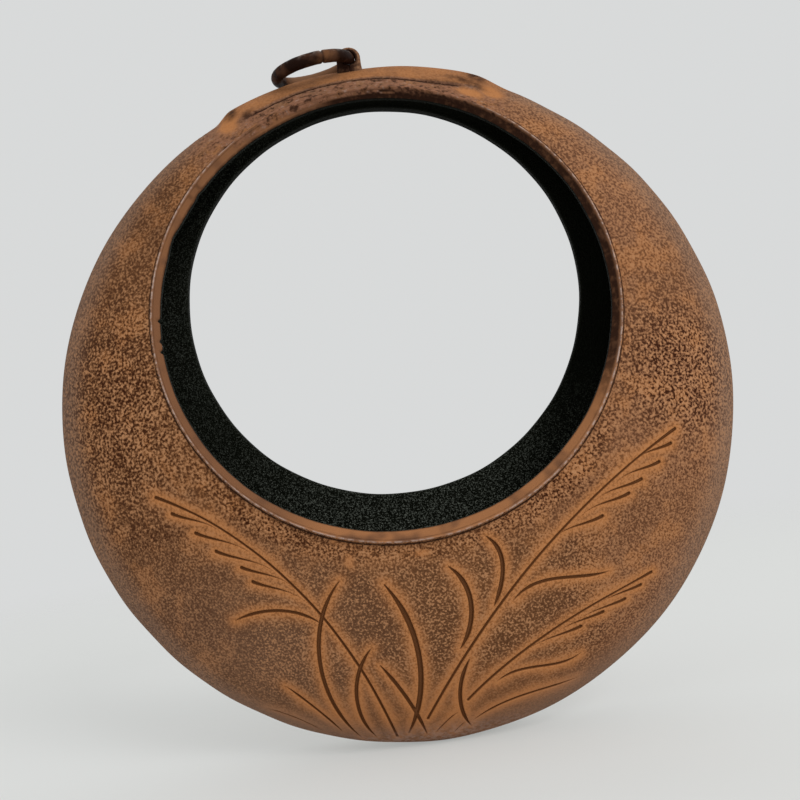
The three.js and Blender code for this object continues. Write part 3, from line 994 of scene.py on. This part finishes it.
def eye_strap():
    """The strap about the eye's centre, from one leg over the arch to the other leg."""
    section = rounded_section(STRAP_WIDTH, STRAP_THICKNESS, STRAP_ROUND)
    bulge = HOLE_BULGE * np.clip(1 - (section[:, :1] / (STRAP_WIDTH / 2 - STRAP_ROUND)) ** 2, 0, 1)
    leg = [(math.pi, -LEG_LENGTH * (1 - step / LEG_STEPS)) for step in range(LEG_STEPS)]
    arch = [(math.pi * (1 - step / ARCH_STEPS), 0) for step in range(ARCH_STEPS + 1)]
    route = leg + arch + [(0, -LEG_LENGTH * (step + 1) / LEG_STEPS) for step in range(LEG_STEPS)]
    rows = []
    for turn, drop in route:
        flare = 1 + LEG_FLARE * max(0, -drop / LEG_LENGTH - FLARE_FROM) ** 2
        outward = np.array((math.cos(turn) / STRAP_RADIUS, 0, math.sin(turn) / ARCH_RISE))
        outward /= np.linalg.norm(outward)
        spot = np.array((STRAP_RADIUS * math.cos(turn), 0, ARCH_RISE * math.sin(turn) + drop))
        across = section[:, :1] * np.array((0, 1, 0)) * flare
        inner = spot - STRAP_THICKNESS / 2 * outward
        if drop < 0:
            hole = HOLE_HALF_WIDTH * math.sqrt(max(0, 1 - (drop / HOLE_HALF_HEIGHT) ** 2))
            thicker = abs(inner[0]) - np.maximum(FOOT_GAP, hole - bulge)
        else:
            past_hole = math.hypot(inner[0] / HOLE_HALF_WIDTH, inner[2] / HOLE_HALF_HEIGHT)
            thicker = math.hypot(inner[0], inner[2]) * (1 - 1 / past_hole) + bulge
        through = (section[:, 1:] * flare ** 2 - thicker * (section[:, 1:] < 0)) * outward
        rows.append(spot + across + through)
    piece, points = closed_tube("eye_strap", rows, patina)
    lean = math.atan2(eye_axis.z, eye_axis.y)
    turned = points @ np.array(Matrix.Rotation(lean, 3, "X")).T
    # Painted shade: the left leg and the strap's inner side are darkened where the ring shades them.
    shaded_left_leg = smooth_step(-points[:, 0], *LEFT_LEG) * smooth_step(points[:, 2], *LEFT_LEG_UP)
    shaded_inner_side = np.tile(section[:, 1] < 0, len(route))
    marks = {
        "dull": np.ones(len(points)),
        "edge": np.full(len(points), 0.5),
        "grainy": np.full(len(points), 0.35),
        "soot_and_shade": np.maximum.reduce((0.5 * bell(points[:, 2], *FOOT_SOOT), shaded_left_leg, 0.95 * shaded_inner_side)),
    }
    dress(piece, turned * MM + np.array(eye_centre), marks)
    return piece


eye = eye_strap()
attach(eye, "vase")
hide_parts("eye_staple")

# Hanging ring: 4.5 mm iron wire bent round a mandrel, with its two ends butted at the front. It is
# loose in the eye, lies over to the left on the pad, and has tipped forward and slid a little.
RING_WIRE = 4.5
WIRE_FULLNESS = 0.985
WIRE_OVAL = 0.02
LONG_DENTS = 0.03
SHORT_DENTS = 0.025
RING_STEPS = 220
WIRE_STEPS = 28
RING_ROCK = math.radians(4.4)
RING_SLIDE = 0.12
JOINT_ANGLE = math.radians(-72.5)
JOINT_WIDTH = 0.36
JOINT_DEPTH = 0.5
JOINT_RUST = (1.2, 3)
FAR_SIDE = (0.3, 0.8)
HIGHLIGHT_SIDE = (55, 28)
RING_IRON = (0.013, 0.005, 0.003, 1)
RING_BROWN = (0.075, 0.033, 0.018, 1)
RING_RUST = (0.125, 0.054, 0.023, 1)
RING_LIT_BROWN = (0.185, 0.092, 0.048, 1)
RING_HIGHLIGHT = (0.24, 0.18, 0.15, 1)


def dark_iron():
    """Forged iron, nearly black, rusty at its joint, with painted highlights and a painted lit far side."""
    material, tree, shader = new_finish("dark_ring_iron", 0.03)
    wear = ranged(tree, noise(tree, 190.0, detail=4.0), 0.42, 0.66)
    colour = tinted(tree, product(tree, wear, 0.8), RING_IRON, RING_BROWN)
    rust = product(tree, painted(tree, "rust"), ranged(tree, noise(tree, 450.0), 0.35, 0.6, 0.35, 1.0))
    colour = tinted(tree, rust, colour, RING_RUST)
    # The far half is painted paler, as light from the front falls on it.
    colour = tinted(tree, painted(tree, "far_side_light"), colour, RING_LIT_BROWN)
    # Painted highlight streaks along the wire's upper front, where the light falls.
    highlight_streaks = ranged(tree, noise(tree, 330.0, detail=4.0), 0.48, 0.66, 0.0, 0.52)
    highlight_streaks = product(tree, painted(tree, "ring_highlight"), highlight_streaks)
    colour = tinted(tree, highlight_streaks, colour, RING_HIGHLIGHT)
    tree.links.new(colour, shader.inputs["Base Color"])
    tree.links.new(ranged(tree, wear, 0.0, 1.0, 0.42, 0.6), shader.inputs["Roughness"])
    height = sum_of(tree, noise(tree, 520.0, detail=4.0), product(tree, noise(tree, 1400.0), 0.4))
    bump = shader_node(tree, "Bump", {"Strength": 0.5, "Distance": BUMP_HEIGHT, "Height": height})
    tree.links.new(bump.outputs["Normal"], shader.inputs["Normal"])
    return material


def wire_ring():
    """The ring about its CAD solid's centre, tipped and slid, with dents and a notch at its butted ends."""
    node = frame["nodes"]["hanging_ring"].data
    solid = np.array([vertex.co for vertex in node.vertices])
    centre = (solid.max(0) + solid.min(0)) / 2
    toward_eye = np.array(eye_centre) - centre
    toward_eye /= np.linalg.norm(toward_eye)
    to_back = np.array(eye_axis)
    upward = np.cross(toward_eye, to_back)
    to_back, upward = (
        to_back * math.cos(RING_ROCK) + upward * math.sin(RING_ROCK),
        upward * math.cos(RING_ROCK) - to_back * math.sin(RING_ROCK),
    )
    ring_radius = np.linalg.norm(np.array(eye_centre) - centre) / MM

    turn, wrap = np.meshgrid(
        np.arange(RING_STEPS) * 2 * math.pi / RING_STEPS,
        np.arange(WIRE_STEPS) * 2 * math.pi / WIRE_STEPS,
        indexing="ij",
    )
    from_joint = ring_radius * ((turn - JOINT_ANGLE + math.pi) % (2 * math.pi) - math.pi)
    notch = bell(from_joint, 0, JOINT_WIDTH)
    dents = LONG_DENTS * np.sin(6 * turn + 1) * np.cos(2 * wrap)
    dents += SHORT_DENTS * np.sin(17 * turn + 3 * wrap)
    wire = RING_WIRE / 2 * (WIRE_FULLNESS - WIRE_OVAL * np.cos(2 * wrap))
    wire = wire - JOINT_DEPTH * notch - abs(dents)
    out = ring_radius + wire * np.cos(wrap)
    points = (
        centre
        + MM * RING_SLIDE * toward_eye
        + MM * (out * np.cos(turn))[..., None] * toward_eye
        + MM * (out * np.sin(turn))[..., None] * to_back
        + MM * (wire * np.sin(wrap))[..., None] * upward
    ).reshape(-1, 3)
    quads = ring_quads(RING_STEPS + 1, WIRE_STEPS)
    quads[quads >= len(points)] -= len(points)
    piece = new_mesh_object("wire_ring", points, quads.tolist(), (dark_iron(),), np.zeros(len(quads)))
    rust = bell(from_joint, *JOINT_RUST) * (1 - notch)
    # painted light: the far half of the ring is paler, lit from the front
    far_side_light = 0.9 * smooth_step(np.sin(turn), *FAR_SIDE)
    # painted highlight along the upper front of the wire
    ring_highlight = bell(np.degrees(wrap), *HIGHLIGHT_SIDE)
    dress(piece, points, {"rust": rust.ravel(), "far_side_light": far_side_light.ravel(), "ring_highlight": ring_highlight.ravel()})
    return piece


ring = wire_ring()
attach(ring, "ring")
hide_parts("hanging_ring")

# Studio: a pale floor that fades into a pale surround, soft light from the upper right, and a camera
# close in front of the vase, a little below its centre and tipped as it was held.
FLOOR_SIZE = 3.0
FLOOR_DROP = 0.0002
FLOOR_FADE = (0.35, 1.1)
PALE_GREY = (0.69, 0.70, 0.70, 1)
FLOOR_GREY = (0.80, 0.805, 0.80, 1)
FLOOR_PALE = (0.68, 0.70, 0.68, 1)
FLOOR_GLOW = 0.5
FILL_LEVEL = 0.72
KEY_PLACE = Vector((1.14, -1.63, 1.02))
KEY_SIZE = 1.0
KEY_POWER = 24


def studio_floor():
    """A wide pale floor under the vase, see-through towards its edge."""
    half = FLOOR_SIZE / 2
    level = shell_low.z - FLOOR_DROP
    sides = ((-half, -half), (half, -half), (half, half), (-half, half))
    corners = np.array([(x, y, level) for x, y in sides])
    material, tree, shader = new_finish("pale_floor", 0.2, roughness=0.9)
    shader.inputs["Base Color"].default_value = FLOOR_GREY
    place = shader_node(tree, "TexCoord", {}).outputs["Object"]
    from_vase = {0: place, 1: (body_centre[0], body_centre[1], level)}
    far = shader_node(tree, "VectorMath", from_vase, operation="DISTANCE").outputs["Value"]
    clear = shader_node(tree, "BsdfTransparent", {})
    fade = ranged(tree, far, *FLOOR_FADE)
    lit = shader_node(tree, "Emission", {"Color": FLOOR_PALE, "Strength": 1.0})
    seen = shader_node(tree, "LightPath", {}).outputs["Is Camera Ray"]
    glow = product(tree, seen, FLOOR_GLOW)
    pale = shader_node(tree, "MixShader", {0: glow, 1: shader.outputs[0], 2: lit.outputs[0]})
    mix = shader_node(tree, "MixShader", {0: fade, 1: pale.outputs[0], 2: clear.outputs[0]})
    tree.links.new(mix.outputs[0], tree.nodes["Material Output"].inputs["Surface"])
    return new_mesh_object("studio_floor", corners, [(0, 1, 2, 3)], (material,), np.zeros(1))


studio_floor()


def pale_surround():
    """A pale world behind the vase and in its gloss, and an even fill light from all round."""
    world = bpy.data.worlds.new("pale_surround")
    bpy.context.scene.world = world
    world.use_nodes = True
    tree = world.node_tree
    shown = shader_node(tree, "Background", {"Color": PALE_GREY, "Strength": 1.0})
    fill = shader_node(tree, "Background", {"Color": (1, 1, 1, 1), "Strength": FILL_LEVEL})
    rays = shader_node(tree, "LightPath", {}).outputs
    seen = larger_of(tree, rays["Is Camera Ray"], rays["Is Glossy Ray"])
    seen = larger_of(tree, seen, rays["Is Transmission Ray"])
    mix = shader_node(tree, "MixShader", {0: seen, 1: fill.outputs[0], 2: shown.outputs[0]})
    tree.links.new(mix.outputs[0], tree.nodes["World Output"].inputs["Surface"])


pale_surround()


def soft_lamp(name, place, size, power):
    """A square soft box that faces the vase."""
    light = bpy.data.lights.new(name, "AREA")
    light.size = size
    light.energy = power
    lamp = bpy.data.objects.new(name, light)
    lamp.location = place
    lamp.rotation_euler = (Vector(body_centre) - lamp.location).to_track_quat("-Z", "Y").to_euler()
    bpy.context.scene.collection.objects.link(lamp)


soft_lamp("key_lamp", KEY_PLACE, KEY_SIZE, KEY_POWER)

CAMERA_PLACE = Vector((-0.8, -299.25, -29.46)) * MM
CAMERA_UPWARD = math.radians(5.36)
CAMERA_TURN = math.radians(-0.32)
CAMERA_ROLL = math.radians(-7.59)
CAMERA_LENS = 37.575
CAMERA_NEAR = 0.01
camera_data = bpy.data.cameras.new("photo_camera")
camera_data.lens = CAMERA_LENS
camera_data.clip_start = CAMERA_NEAR
camera = bpy.data.objects.new("photo_camera", camera_data)
facing = (
    Matrix.Rotation(CAMERA_TURN, 4, "Z")
    @ Matrix.Rotation(math.pi / 2 + CAMERA_UPWARD, 4, "X")
    @ Matrix.Rotation(CAMERA_ROLL, 4, "Z")
)
camera.matrix_world = Matrix.Translation(Vector(body_centre) + CAMERA_PLACE) @ facing
bpy.context.scene.collection.objects.link(camera)
bpy.context.scene.camera = camera
bpy.context.scene.view_settings.view_transform = "Standard"
